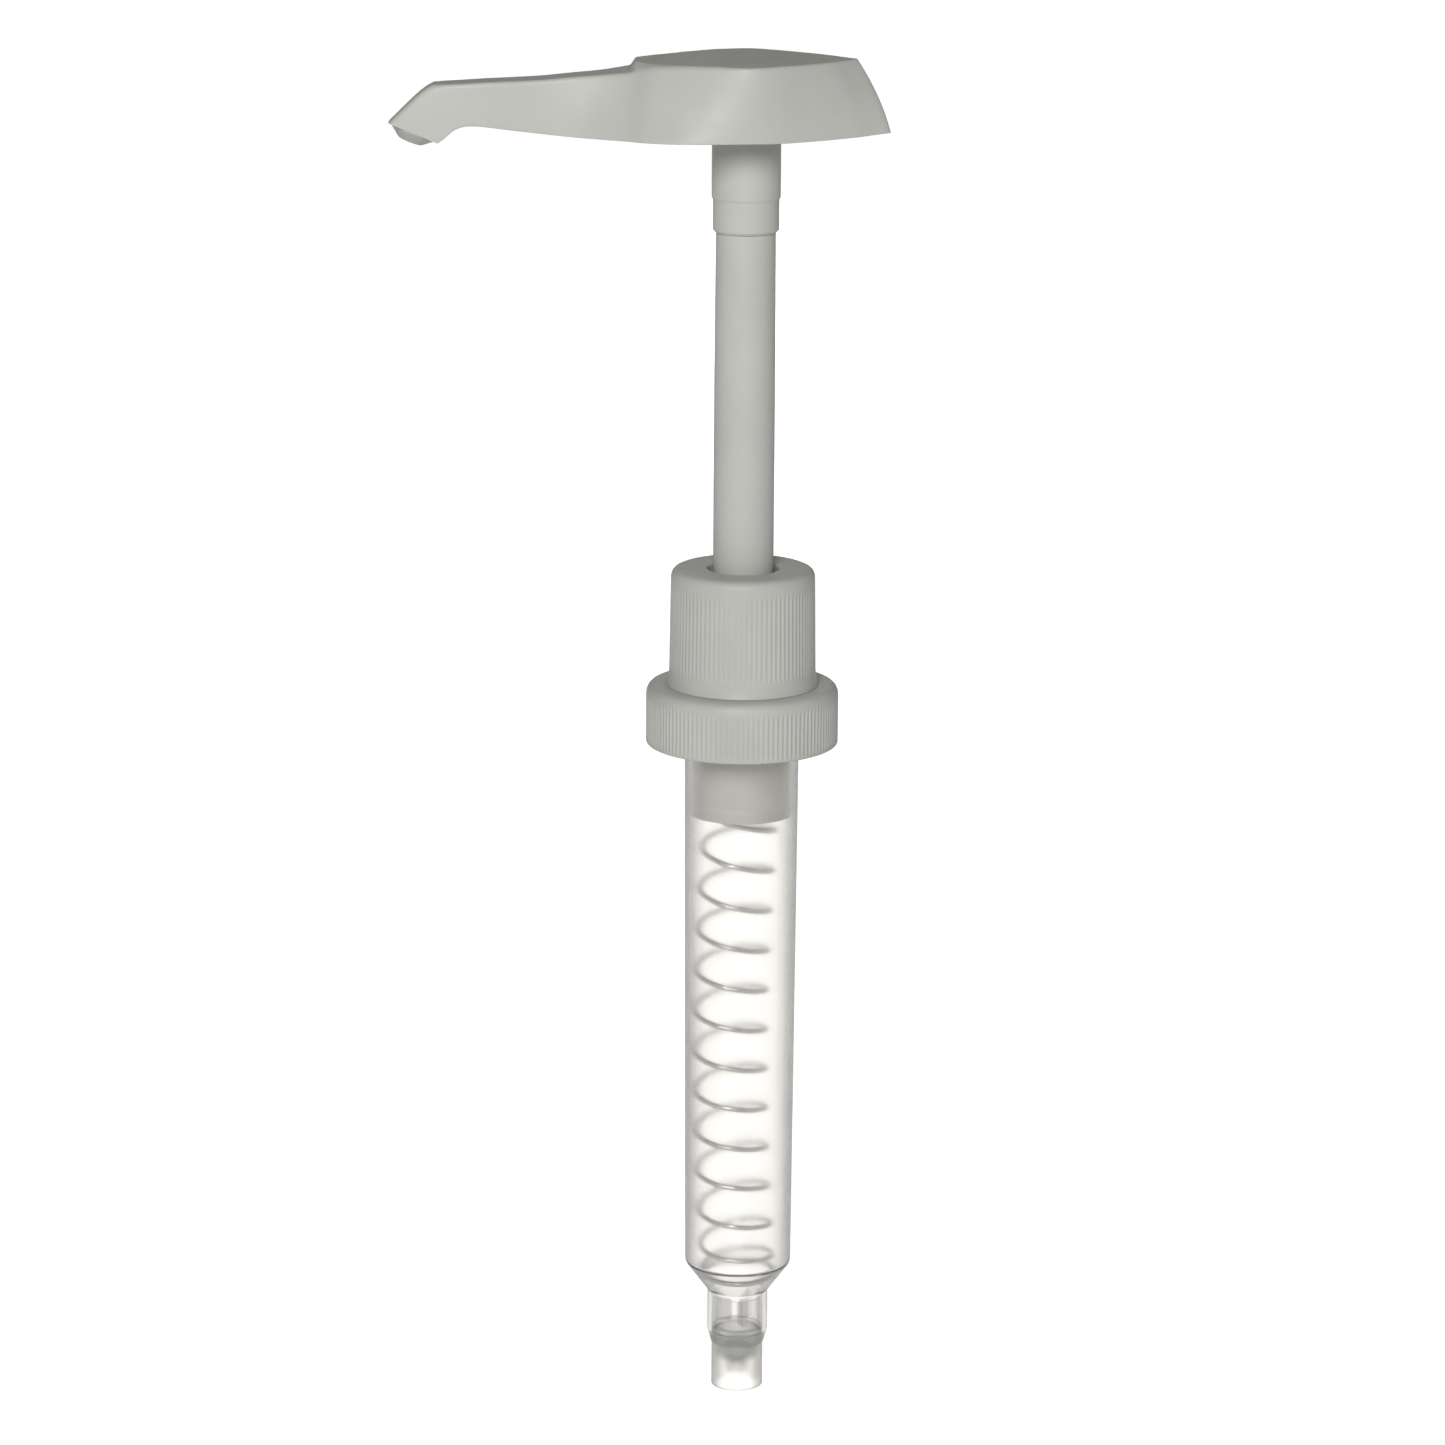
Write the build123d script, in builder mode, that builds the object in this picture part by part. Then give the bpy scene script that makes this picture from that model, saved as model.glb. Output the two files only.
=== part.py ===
from build123d import *
import os
from math import cos, radians, sin, sqrt

# A hand pump for thick condiments, one fluid ounce (30 ml) a stroke, on a 38-400 bottle closure.
#
# The origin is on the pump axis, in the plane where the gasket seals on the bottle's rim.
# +Z runs up the stem, and the spout points along -X. All lengths are in millimetres.

os.makedirs("parts", exist_ok=True)

# ---------------------------------------------------------------- fits and travel
STROKE = 73.0            # full press of the head
RUN_FIT = 0.08           # radial clearance where one part slides or turns in another
SEAT_GAP = 0.1           # gap between stacked faces and between nested fixed parts
BALL_LIFT = 2.0          # travel of each check ball off its seat

# ---------------------------------------------------------------- pump housing
BORE_R = 11.3            # chamber bore: 401 mm2, so 73 to 74 mm of stroke is one fluid ounce
TUBE_TOP_R = 12.7        # the tube's outside tapers towards its foot
TUBE_FOOT_R = 11.95
FOOT_Z = -130.3          # where the cone starts
CONE_END_Z = -137.3
NECK_R = 6.84            # narrow neck below the cone
NECK_BORE_R = 5.82
NECK_END_Z = -146.75     # lower edge of the neck's straight part
SHOULDER_END_Z = -149.7  # end of the tapered rim that grips the dip tube
SHOULDER_END_R = 6.05
FLANGE_R = 17.4          # flange between the bottle and the closure
FLANGE_T = 1.5
HEAD_NECK_R = 13.3       # threadless neck above the flange that the lock collar snaps on
HEAD_NECK_TOP = 21.9
SNAP_Z = 10.5            # height of the snap bead's crest
SNAP_H = 0.5             # how far the bead stands out
SNAP_RUN = 1.6           # half of the bead's length

# ---------------------------------------------------------------- gasket, closure, lock collar
GASKET_T = 1.2
GASKET_R = 17.6
CAP_R = 21.25
CAP_TOP = 4.53
CAP_BOTTOM = -8.8
CAP_WALL_R = 19.15       # thread root radius of a 38-400 closure
CAP_CREST_R = 17.95      # thread crest radius
CAP_HOLE_R = 13.7
CAP_EDGE = 2.5           # rounding of the top rim
CAP_LIP = 0.5            # rounding of the bottom rim
THREAD_PITCH = 4.233     # six threads to the inch
THREAD_TURNS = 1.1
COLLAR_TOP = 30.56
COLLAR_TOP_R = 15.85
COLLAR_WAIST_R = 16.15   # just above the flared base
COLLAR_BASE_R = 16.9
COLLAR_WAIST_Z = 8.6
COLLAR_EDGE = 1.8
COLLAR_HOLE_R = 7.9
COLLAR_CEILING = 25.0    # underside of the collar's thick top

# ---------------------------------------------------------------- stem, guide and wiper
STEM_R = 6.65
STEM_TOP_R = 6.52        # the stem tapers above TAPER_Z
TAPER_Z = 70.0
STEM_BORE_R = 4.8
STEM_FOOT_Z = -18.1
STEM_SHOULDER_Z = 104.8  # the stem's spigot starts here, inside the socket
SPIGOT_R = 5.8
SPIGOT_TOP_Z = 121.0
STEM_BEAD_Z = -10.0      # snap bead that holds the stem in the piston
STEM_BEAD_H = 0.5
GUIDE_WALL = 1.5
GUIDE_FOOT_Z = 3.4
GUIDE_FLANGE_T = 1.5
GUIDE_SPIGOT = 3.0       # length that centres the guide in the housing's bore

# ---------------------------------------------------------------- piston
PISTON_TOP = 3.0
PISTON_FLANGE_T = 1.6
PISTON_R = 9.9           # hub inside the soft seal
PISTON_FLOOR_Z = -22.5
PISTON_FOOT_Z = -24.9    # underside of the soft seal's rim, level with the spring's end coil
SPRING_NEST_R = 9.1      # recess in the soft seal where the spring pushes on the piston's floor
SEAL_SKIRT_R = 10.9
LIP_H = 2.0
OUTLET_BALL_R = 3.175    # quarter-inch ball
O_RING_R = 0.62          # section radius
O_RING_Z = -3.5

# ---------------------------------------------------------------- foot valve and dip tube
DIP_R = 5.8
DIP_BORE_R = 4.95
DIP_TOP_Z = -147.1
DIP_END_Z = -160.1
INLET_BALL_R = 3.57      # 9/32 inch ball
INLET_BALL_Z = -151.4
CUP_BORE_R = 4.2
CUP_WALL = 0.7
INLET_HOLE_R = 1.8
NUB_R = 2.65
NUB_END_Z = -156.6
CAGE_TOP_Z = -138.6
CAGE_FOOT_Z = -146.0
FIN_COUNT = 3
FIN_T = 1.1
FIN_TIP_R = 1.4
FIN_FOOT_Z = -144.9

# ---------------------------------------------------------------- return spring
WIRE_R = 0.55
COIL_R = 8.05
SPRING_FOOT_Z = -133.2   # centre line of the closed coil that rests in the cone
SPRING_TURNS = 12

# ---------------------------------------------------------------- head
HEAD_BOTTOM = 126.55
PAD_TOP = 142.2
ROOF_T = 2.3
RIB_T = 1.8              # ribs across the head's hollow underside
SPOUT_JOIN_X = -38.0     # where the body's walls have closed to the spout's width
PAD_END_X = -24.4        # step from the raised thumb pad down to the spout
SPOUT_TOP_AT_PAD = 139.4
TIP_TOP = (-67.3, 137.1)
TIP_FRONT = (-76.7, 128.3)
TIP_HEEL = (-66.3, 124.0)
TIP_THROAT = (-59.0, 127.4)
SPOUT_HALF_W = 4.5
CHANNEL_R = 2.7
CHANNEL_Z = 133.0
CHANNEL_END_X = -67.5
NOZZLE_BEND_Z = 130.3    # top of the nozzle's downward bore
NOZZLE_R = 4.1           # the ring's foot, where it meets the spout's end
NOZZLE_TAPER = 34.0      # degrees that it narrows by on its way out
NOZZLE_BORE_R = 2.1
NOZZLE_STANDOUT = 2.1    # how far the ring stands out of the spout's end
NOZZLE_SPIGOT_R = 2.85
NOZZLE_LEN = 2.5         # how far its spigot goes in
ELBOW_R = 4.3
ELBOW_END_X = -27.0
SOCKET_R = 7.475
SOCKET_TIP_R = 7.2
SOCKET_STEP_Z = 112.5
SOCKET_TOP_Z = 138.4
SOCKET_BORE_R = 5.85


def finish(builder, label):
    """Label a finished piece and write it out."""
    builder.part.label = label
    export_step(builder.part, f"parts/{label}.step")


def section(*points):
    """A closed outline of (radius, height) points in the XZ plane."""
    with BuildSketch(Plane.XZ) as outline:
        with BuildLine():
            Polyline(*points, close=True)
        make_face()
    return outline.sketch


def bead(radius, height, crest):
    """Outline points of a snap bead or, with the wall outside it, of its groove."""
    return [(radius, crest - SNAP_RUN), (radius + height, crest), (radius, crest + SNAP_RUN)]


# ================================================================ housing body
with BuildPart() as pump_housing:
    revolve(
        section(
            (BORE_R, HEAD_NECK_TOP),
            (BORE_R, FOOT_Z + 0.4),
            (NECK_BORE_R, CONE_END_Z + 0.3),
            (NECK_BORE_R, SHOULDER_END_Z),
            (SHOULDER_END_R, SHOULDER_END_Z),
            (NECK_R, NECK_END_Z),
            (NECK_R, CONE_END_Z),
            (TUBE_FOOT_R, FOOT_Z),
            (TUBE_TOP_R, GASKET_T),
            (FLANGE_R, GASKET_T),
            (FLANGE_R, GASKET_T + FLANGE_T),
            (HEAD_NECK_R, GASKET_T + FLANGE_T),
            *bead(HEAD_NECK_R, SNAP_H, SNAP_Z),
            (HEAD_NECK_R, HEAD_NECK_TOP),
        ),
        axis=Axis.Z,
    )
finish(pump_housing, "pump_housing")

with BuildPart() as neck_gasket:
    with BuildSketch():
        Circle(GASKET_R)
        Circle(TUBE_TOP_R + SEAT_GAP, mode=Mode.SUBTRACT)
    extrude(amount=GASKET_T)
finish(neck_gasket, "neck_gasket")

collar_foot = CAP_TOP + SEAT_GAP
collar_bore = HEAD_NECK_R + 0.15
with BuildPart() as lock_collar:
    with BuildSketch(Plane.XZ):
        with BuildLine():
            flare = Spline(
                (COLLAR_BASE_R, collar_foot),
                (COLLAR_WAIST_R, COLLAR_WAIST_Z),
                tangents=[(-0.7, 0.7), (0, 1)],
            )
            Polyline(
                flare @ 1,
                (COLLAR_TOP_R, COLLAR_TOP),
                (COLLAR_HOLE_R, COLLAR_TOP),
                (COLLAR_HOLE_R, COLLAR_CEILING),
                (collar_bore, COLLAR_CEILING),
                *reversed(bead(collar_bore, SNAP_H, SNAP_Z)),
                (collar_bore, collar_foot),
                flare @ 0,
            )
        make_face()
    revolve(axis=Axis.Z)
    rims = lock_collar.edges().filter_by(GeomType.CIRCLE).group_by(Axis.Z)[-1]
    fillet(rims.sort_by(SortBy.RADIUS)[-1], COLLAR_EDGE)
    fillet(lock_collar.edges().filter_by(GeomType.CIRCLE).group_by(Axis.Z)[-1].sort_by(SortBy.RADIUS)[0], 0.5)
finish(lock_collar, "lock_collar")

guide_bore = STEM_R + RUN_FIT
guide_r = BORE_R - SEAT_GAP
guide_top = HEAD_NECK_TOP + GUIDE_FLANGE_T
with BuildPart() as stem_guide:
    revolve(
        section(
            (guide_bore, GUIDE_FOOT_Z),
            (guide_bore + GUIDE_WALL, GUIDE_FOOT_Z),
            (guide_bore + GUIDE_WALL, HEAD_NECK_TOP - GUIDE_SPIGOT),
            (guide_r, HEAD_NECK_TOP - GUIDE_SPIGOT),
            (guide_r, HEAD_NECK_TOP),
            (HEAD_NECK_R, HEAD_NECK_TOP),
            (HEAD_NECK_R, guide_top),
            (guide_bore, guide_top),
        ),
        axis=Axis.Z,
    )
finish(stem_guide, "stem_guide")

with BuildPart() as wiper_seal:
    revolve(
        section(
            (guide_bore + 0.5, guide_top),
            (HEAD_NECK_R, guide_top),
            (HEAD_NECK_R, COLLAR_CEILING),
            (COLLAR_HOLE_R, COLLAR_CEILING),
            (guide_bore + 0.6, COLLAR_CEILING + 1.6),
            (guide_bore, COLLAR_CEILING + 1.6),
            (guide_bore + 0.5, COLLAR_CEILING),
        ),
        axis=Axis.Z,
    )
finish(wiper_seal, "wiper_seal")

with BuildPart() as ball_cage:
    with BuildSketch(Plane.XY.offset(CAGE_FOOT_Z)):
        Circle(NECK_BORE_R - 0.05)
        Circle(NECK_BORE_R - 0.75, mode=Mode.SUBTRACT)
    extrude(amount=CAGE_TOP_Z - CAGE_FOOT_Z)
    for turn in range(FIN_COUNT):
        angle = 50 + turn * 360 / FIN_COUNT
        fin_plane = Plane(
            origin=(0, 0, 0),
            x_dir=(cos(radians(angle)), sin(radians(angle)), 0),
            z_dir=(sin(radians(angle)), -cos(radians(angle)), 0),
        )
        with BuildSketch(fin_plane):
            with BuildLine():
                Polyline(
                    (FIN_TIP_R, FIN_FOOT_Z),
                    (NECK_BORE_R - 0.5, FIN_FOOT_Z),
                    (NECK_BORE_R - 0.5, CAGE_TOP_Z),
                    (FIN_TIP_R, CAGE_TOP_Z - 1.6),
                    close=True,
                )
            make_face()
        extrude(amount=FIN_T / 2, both=True)
finish(ball_cage, "ball_cage")

# The inlet ball sits in a 45 degree cone, so the cone's apex line is r = z + seat_line.
seat_line = sqrt(2) * INLET_BALL_R - INLET_BALL_Z
cup_r = CUP_BORE_R + CUP_WALL
with BuildPart() as foot_valve_seat:
    revolve(
        section(
            (CUP_BORE_R, CAGE_FOOT_Z),
            (CUP_BORE_R, CUP_BORE_R - seat_line),
            (INLET_HOLE_R, INLET_HOLE_R - seat_line),
            (INLET_HOLE_R, NUB_END_Z),
            (NUB_R, NUB_END_Z),
            (NUB_R, NUB_R - seat_line - 1.1),
            (cup_r, cup_r - seat_line - 1.1),
            (cup_r, DIP_TOP_Z),
            (DIP_R, DIP_TOP_Z),
            (DIP_R, CAGE_FOOT_Z),
        ),
        axis=Axis.Z,
    )
finish(foot_valve_seat, "foot_valve_seat")

with BuildPart() as dip_tube:
    with BuildSketch(Plane.XY.offset(DIP_END_Z)):
        Circle(DIP_R)
        Circle(DIP_BORE_R, mode=Mode.SUBTRACT)
    extrude(amount=DIP_TOP_Z - DIP_END_Z)
finish(dip_tube, "dip_tube")

# A left-hand wire helix between two closed end coils.
spring_top_z = PISTON_FLOOR_Z - WIRE_R - 0.02
helix_rise = spring_top_z - SPRING_FOOT_Z
with BuildPart() as return_spring:
    with BuildLine():
        wire_path = Helix(
            pitch=helix_rise / SPRING_TURNS,
            height=helix_rise,
            radius=COIL_R,
            center=(0, 0, SPRING_FOOT_Z),
            lefthand=True,
        )
    with BuildSketch(Plane(origin=wire_path @ 0, z_dir=wire_path % 0)):
        Circle(WIRE_R)
    sweep(is_frenet=True)
    for end_z in (SPRING_FOOT_Z, spring_top_z):
        with Locations((0, 0, end_z)):
            Torus(COIL_R, WIRE_R)
finish(return_spring, "return_spring")

# ================================================================ closure body
with BuildPart() as closure_cap:
    revolve(
        section(
            (CAP_WALL_R, CAP_BOTTOM),
            (CAP_R, CAP_BOTTOM),
            (CAP_R, CAP_TOP),
            (CAP_HOLE_R, CAP_TOP),
            (CAP_HOLE_R, GASKET_T + FLANGE_T + SEAT_GAP),
            (CAP_WALL_R, GASKET_T + FLANGE_T + SEAT_GAP),
        ),
        axis=Axis.Z,
    )
    rims = closure_cap.edges().filter_by(GeomType.CIRCLE)
    fillet(rims.group_by(Axis.Z)[-1].sort_by(SortBy.RADIUS)[-1], CAP_EDGE)
    fillet(rims.group_by(Axis.Z)[0].sort_by(SortBy.RADIUS)[-1], CAP_LIP)
    with BuildLine():
        thread_path = Helix(
            pitch=THREAD_PITCH,
            height=THREAD_PITCH * THREAD_TURNS,
            radius=CAP_WALL_R,
            center=(0, 0, CAP_BOTTOM + 1.9),
        )
    with BuildSketch(Plane(origin=thread_path @ 0, x_dir=(1, 0, 0), z_dir=thread_path % 0)):
        thread_depth = CAP_WALL_R - CAP_CREST_R
        Polygon(
            (0.3, -1.3), (-thread_depth, -0.55), (-thread_depth, 0.55), (0.3, 1.3), align=None
        )
    sweep(is_frenet=True)
finish(closure_cap, "closure_cap")

# ================================================================ piston body
hub_bore = STEM_R + RUN_FIT
flange_under = PISTON_TOP - PISTON_FLANGE_T
outlet_ball_z = STEM_FOOT_Z + 0.4
outlet_line = sqrt(2) * OUTLET_BALL_R - outlet_ball_z
piston_ledge = STEM_FOOT_Z - SEAT_GAP
with BuildPart() as piston_body:
    revolve(
        section(
            (hub_bore, PISTON_TOP),
            (hub_bore, piston_ledge),
            (piston_ledge + outlet_line, piston_ledge),
            (2.0, 2.0 - outlet_line),
            (2.0, PISTON_FLOOR_Z),
            (PISTON_R, PISTON_FLOOR_Z),
            (PISTON_R, flange_under),
            (SEAL_SKIRT_R, flange_under),
            (SEAL_SKIRT_R, PISTON_TOP),
        ),
        axis=Axis.Z,
    )
    # groove for the stem's snap bead, and the O-ring's groove above it
    revolve(
        section((hub_bore - 0.5, STEM_BEAD_Z - SNAP_RUN), *bead(hub_bore, STEM_BEAD_H, STEM_BEAD_Z),
                (hub_bore - 0.5, STEM_BEAD_Z + SNAP_RUN)),
        axis=Axis.Z,
        mode=Mode.SUBTRACT,
    )
    revolve(
        section(
            (hub_bore - 0.5, O_RING_Z - O_RING_R - 0.05),
            (hub_bore + 2 * O_RING_R + 0.05, O_RING_Z - O_RING_R - 0.05),
            (hub_bore + 2 * O_RING_R + 0.05, O_RING_Z + O_RING_R + 0.05),
            (hub_bore - 0.5, O_RING_Z + O_RING_R + 0.05),
        ),
        axis=Axis.Z,
        mode=Mode.SUBTRACT,
    )
finish(piston_body, "piston_body")

lip_r = BORE_R - RUN_FIT
with BuildPart() as piston_seal:
    revolve(
        section(
            (SPRING_NEST_R, PISTON_FOOT_Z),
            (lip_r, PISTON_FOOT_Z),
            (lip_r, PISTON_FOOT_Z + LIP_H),
            (SEAL_SKIRT_R, PISTON_FOOT_Z + 1.6 * LIP_H),
            (SEAL_SKIRT_R, flange_under - 1.2 * LIP_H),
            (lip_r, flange_under - 0.5 * LIP_H),
            (lip_r, flange_under - SEAT_GAP),
            (PISTON_R + 0.05, flange_under - SEAT_GAP),
            (PISTON_R + 0.05, PISTON_FLOOR_Z - 0.05),
            (SPRING_NEST_R, PISTON_FLOOR_Z - 0.05),
        ),
        axis=Axis.Z,
    )
finish(piston_seal, "piston_seal")

with BuildPart() as stem_o_ring:
    with Locations((0, 0, O_RING_Z)):
        Torus(hub_bore + O_RING_R, O_RING_R)
finish(stem_o_ring, "stem_o_ring")

# ================================================================ check balls
with BuildPart() as inlet_ball:
    with Locations((0, 0, INLET_BALL_Z)):
        Sphere(INLET_BALL_R)
finish(inlet_ball, "inlet_ball")

with BuildPart() as outlet_ball:
    with Locations((0, 0, outlet_ball_z)):
        Sphere(OUTLET_BALL_R)
finish(outlet_ball, "outlet_ball")

# ================================================================ head body
with BuildPart() as stem_tube:
    revolve(
        section(
            (STEM_BORE_R, STEM_FOOT_Z),
            (STEM_R, STEM_FOOT_Z),
            *bead(STEM_R, STEM_BEAD_H, STEM_BEAD_Z),
            (STEM_R, TAPER_Z),
            (STEM_TOP_R, STEM_SHOULDER_Z),
            (SPIGOT_R, STEM_SHOULDER_Z),
            (SPIGOT_R, SPIGOT_TOP_Z),
            (STEM_BORE_R, SPIGOT_TOP_Z),
        ),
        axis=Axis.Z,
    )
finish(stem_tube, "stem_tube")

stop_foot = outlet_ball_z + OUTLET_BALL_R + BALL_LIFT + 0.3
with BuildPart() as ball_stop:
    with BuildSketch(Plane.XY.offset(stop_foot)):
        Circle(STEM_BORE_R - 0.05)
        Circle(STEM_BORE_R - 0.85, mode=Mode.SUBTRACT)
        Rectangle(2 * STEM_BORE_R - 0.9, 1.4)
        Rectangle(1.4, 2 * STEM_BORE_R - 0.9)
    extrude(amount=2.0)
finish(ball_stop, "ball_stop")

with BuildPart() as stem_socket:
    with BuildSketch(Plane.XZ):
        with BuildLine():
            Polyline(
                (0, SOCKET_TOP_Z),
                (SOCKET_R, SOCKET_TOP_Z),
                (SOCKET_R, SOCKET_STEP_Z),
                (SOCKET_TIP_R, SOCKET_STEP_Z - 0.6),
                (SOCKET_TIP_R, STEM_SHOULDER_Z + 0.6),
                (SOCKET_TIP_R - 0.5, STEM_SHOULDER_Z + 0.05),
                (0, STEM_SHOULDER_Z + 0.05),
                close=True,
            )
        make_face()
    revolve(axis=Axis.Z)
    with BuildSketch(Plane.YZ.offset(ELBOW_END_X)):
        with Locations((0, CHANNEL_Z)):
            Circle(ELBOW_R)
    extrude(amount=-ELBOW_END_X)
    with BuildSketch(Plane.XY.offset(STEM_SHOULDER_Z)):
        Circle(SOCKET_BORE_R)
    extrude(amount=SPIGOT_TOP_Z - STEM_SHOULDER_Z + 0.1, mode=Mode.SUBTRACT)
    with BuildSketch(Plane.XY.offset(SPIGOT_TOP_Z)):
        Circle(STEM_BORE_R)
    extrude(amount=CHANNEL_Z + CHANNEL_R + 0.8 - SPIGOT_TOP_Z, mode=Mode.SUBTRACT)
    with BuildSketch(Plane.YZ.offset(ELBOW_END_X)):
        with Locations((0, CHANNEL_Z)):
            Circle(CHANNEL_R)
    extrude(amount=-ELBOW_END_X, mode=Mode.SUBTRACT)
finish(stem_socket, "stem_socket")


def plan(height, rear_x, widths):
    """Outline of the head seen from above: rear point, then (x, half width) towards the spout."""
    with BuildSketch(Plane.XY.offset(height)) as outline:
        with BuildLine():
            side = Spline((rear_x, 0), *widths)
            mirror(side, about=Plane.XZ)
            end_x, end_half = widths[-1]
            Line((end_x, end_half), (end_x, -end_half))
        make_face()
    return outline.sketch


# (x, half width) of the head's side walls at their foot and at the thumb pad's level
foot_widths = [(23, 6.7), (7, 17.9), (-8, 20.6), (-21.5, 17.6), (-32, 8.8), (SPOUT_JOIN_X, 6.2)]
pad_widths = [(13.9, 10.7), (0.5, 18.7), (-11.5, 14.3), (-24, 5.6), (-30, 4.7), (SPOUT_JOIN_X, 4.4)]
cavity_foot = [(22, 5.4), (7, 16.3), (-8, 18.8), (-18, 16.6), (-25, 11.0)]
cavity_roof = [(13, 9.2), (0.5, 16.2), (-10, 13.4), (-18, 9.0), (-25, 3.6)]

nozzle_mid = ((TIP_FRONT[0] + TIP_HEEL[0]) / 2, (TIP_FRONT[1] + TIP_HEEL[1]) / 2)
exit_dir = Vector(TIP_FRONT[1] - TIP_HEEL[1], 0, TIP_FRONT[0] - TIP_HEEL[0]).normalized()
exit_dir = Vector(-abs(exit_dir.X), 0, -abs(exit_dir.Z))
nozzle_face = Plane(origin=(nozzle_mid[0], 0, nozzle_mid[1]), x_dir=(0, 1, 0), z_dir=exit_dir)

with BuildPart() as head_shell:
    loft([plan(HEAD_BOTTOM, 31.0, foot_widths).face(), plan(PAD_TOP, 24.1, pad_widths).face()])
    # the spout, from the body to its turned-down tip
    with BuildSketch(Plane.XZ):
        with BuildLine():
            Polyline(
                (SPOUT_JOIN_X + 2, HEAD_BOTTOM),
                (-47, HEAD_BOTTOM + 0.5),
                TIP_THROAT,
                (-62, 126.7),
                TIP_HEEL,
                TIP_FRONT,
                TIP_TOP,
                (SPOUT_JOIN_X + 2, SPOUT_TOP_AT_PAD - 0.8),
                close=True,
            )
        make_face()
    extrude(amount=SPOUT_HALF_W, both=True)
    # step down from the raised thumb pad to the spout's gently falling top
    with BuildSketch(Plane.XZ):
        with BuildLine():
            Polyline(
                (PAD_END_X, PAD_TOP + 1),
                (PAD_END_X - 1.2, SPOUT_TOP_AT_PAD),
                (TIP_TOP[0] - 2, TIP_TOP[1]),
                (TIP_TOP[0] - 2, PAD_TOP + 1),
                close=True,
            )
        make_face()
    extrude(amount=15, both=True, mode=Mode.SUBTRACT)
    # hollow underside
    loft(
        [
            plan(HEAD_BOTTOM, 28.6, cavity_foot).face(),
            plan(PAD_TOP - ROOF_T, 21.8, cavity_roof).face(),
        ],
        mode=Mode.SUBTRACT,
    )
    # stiffening ribs across the hollow, with room for the socket between them
    with BuildSketch(Plane.XY.offset(HEAD_BOTTOM + 3)):
        for rib_x, rib_half in ((13, 10.4), (-13, 13.6)):
            with Locations((rib_x, 0)):
                Rectangle(RIB_T, 2 * rib_half)
        Circle(SOCKET_R + RIB_T)
    extrude(amount=PAD_TOP - ROOF_T - HEAD_BOTTOM - 2.5)
    with BuildSketch(Plane.XY.offset(HEAD_BOTTOM)):
        Circle(SOCKET_R + 0.1)
    extrude(amount=SOCKET_TOP_Z - HEAD_BOTTOM + 0.1, mode=Mode.SUBTRACT)
    # bore for the elbow, then the channel to the tip
    with BuildSketch(Plane.YZ.offset(ELBOW_END_X - 0.1)):
        with Locations((0, CHANNEL_Z)):
            Circle(ELBOW_R + 0.1)
    extrude(amount=-ELBOW_END_X, mode=Mode.SUBTRACT)
    with BuildSketch(Plane.YZ.offset(CHANNEL_END_X)):
        with Locations((0, CHANNEL_Z)):
            Circle(CHANNEL_R)
    extrude(amount=ELBOW_END_X - CHANNEL_END_X, mode=Mode.SUBTRACT)
    with Locations((CHANNEL_END_X, 0, CHANNEL_Z - 1)):
        Sphere(CHANNEL_R, mode=Mode.SUBTRACT)
    with BuildSketch(nozzle_face):
        Circle(CHANNEL_R)
    extrude(amount=(nozzle_mid[1] - NOZZLE_BEND_Z) / -exit_dir.Z, mode=Mode.SUBTRACT)
    with BuildSketch(nozzle_face):
        Circle(NOZZLE_SPIGOT_R + 0.05)
    extrude(amount=-NOZZLE_LEN - 0.05, mode=Mode.SUBTRACT)
finish(head_shell, "head_shell")

with BuildPart() as nozzle_tip:
    with BuildSketch(nozzle_face):
        Circle(NOZZLE_R)
    extrude(amount=NOZZLE_STANDOUT, taper=NOZZLE_TAPER)
    with BuildSketch(nozzle_face):
        Circle(NOZZLE_SPIGOT_R)
    extrude(amount=-NOZZLE_LEN)
    with BuildSketch(nozzle_face.offset(-NOZZLE_LEN)):
        Circle(NOZZLE_BORE_R)
    extrude(amount=NOZZLE_LEN + NOZZLE_STANDOUT, mode=Mode.SUBTRACT)
finish(nozzle_tip, "nozzle_tip")
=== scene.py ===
import math

import bmesh
import bpy
import numpy as np
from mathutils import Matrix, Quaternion, Vector


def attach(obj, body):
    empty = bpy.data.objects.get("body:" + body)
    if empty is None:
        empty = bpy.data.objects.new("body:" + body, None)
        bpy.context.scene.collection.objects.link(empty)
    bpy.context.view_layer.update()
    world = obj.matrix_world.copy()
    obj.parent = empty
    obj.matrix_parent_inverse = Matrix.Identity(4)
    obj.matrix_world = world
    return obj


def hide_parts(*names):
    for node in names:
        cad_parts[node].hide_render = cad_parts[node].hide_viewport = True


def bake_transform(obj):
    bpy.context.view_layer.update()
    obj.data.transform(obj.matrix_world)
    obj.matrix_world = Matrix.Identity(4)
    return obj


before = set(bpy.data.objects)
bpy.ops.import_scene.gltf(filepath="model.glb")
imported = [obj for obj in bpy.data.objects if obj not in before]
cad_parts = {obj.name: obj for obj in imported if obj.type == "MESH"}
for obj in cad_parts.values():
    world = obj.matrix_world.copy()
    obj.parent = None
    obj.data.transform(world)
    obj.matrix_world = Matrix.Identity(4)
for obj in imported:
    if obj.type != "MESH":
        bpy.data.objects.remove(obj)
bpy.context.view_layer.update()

# A hand pump for thick condiments. Lengths are in millimetres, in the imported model's frame:
# the origin is on the pump's axis at the gasket face, +Z runs up the stem, the spout points along -X.
MM = 0.001
WELD = 1e-7  # in metres
FIT = 0.05  # gap between pressed pieces

# pump housing
BORE_R = 11.3
TUBE_TOP_R, TUBE_FOOT_R = 12.7, 11.95
FOOT_Z, CONE_END_Z, NECK_END_Z, HOUSING_END_Z = -130.3, -137.3, -146.75, -149.7
NECK_R, NECK_BORE_R, RIM_R = 6.84, 5.82, 6.05
FLANGE_R, FLANGE_LOW, FLANGE_TOP = 17.4, 1.2, 2.7
UPPER_NECK_R, UPPER_NECK_TOP, SNAP_Z = 13.3, 21.9, 10.5

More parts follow.
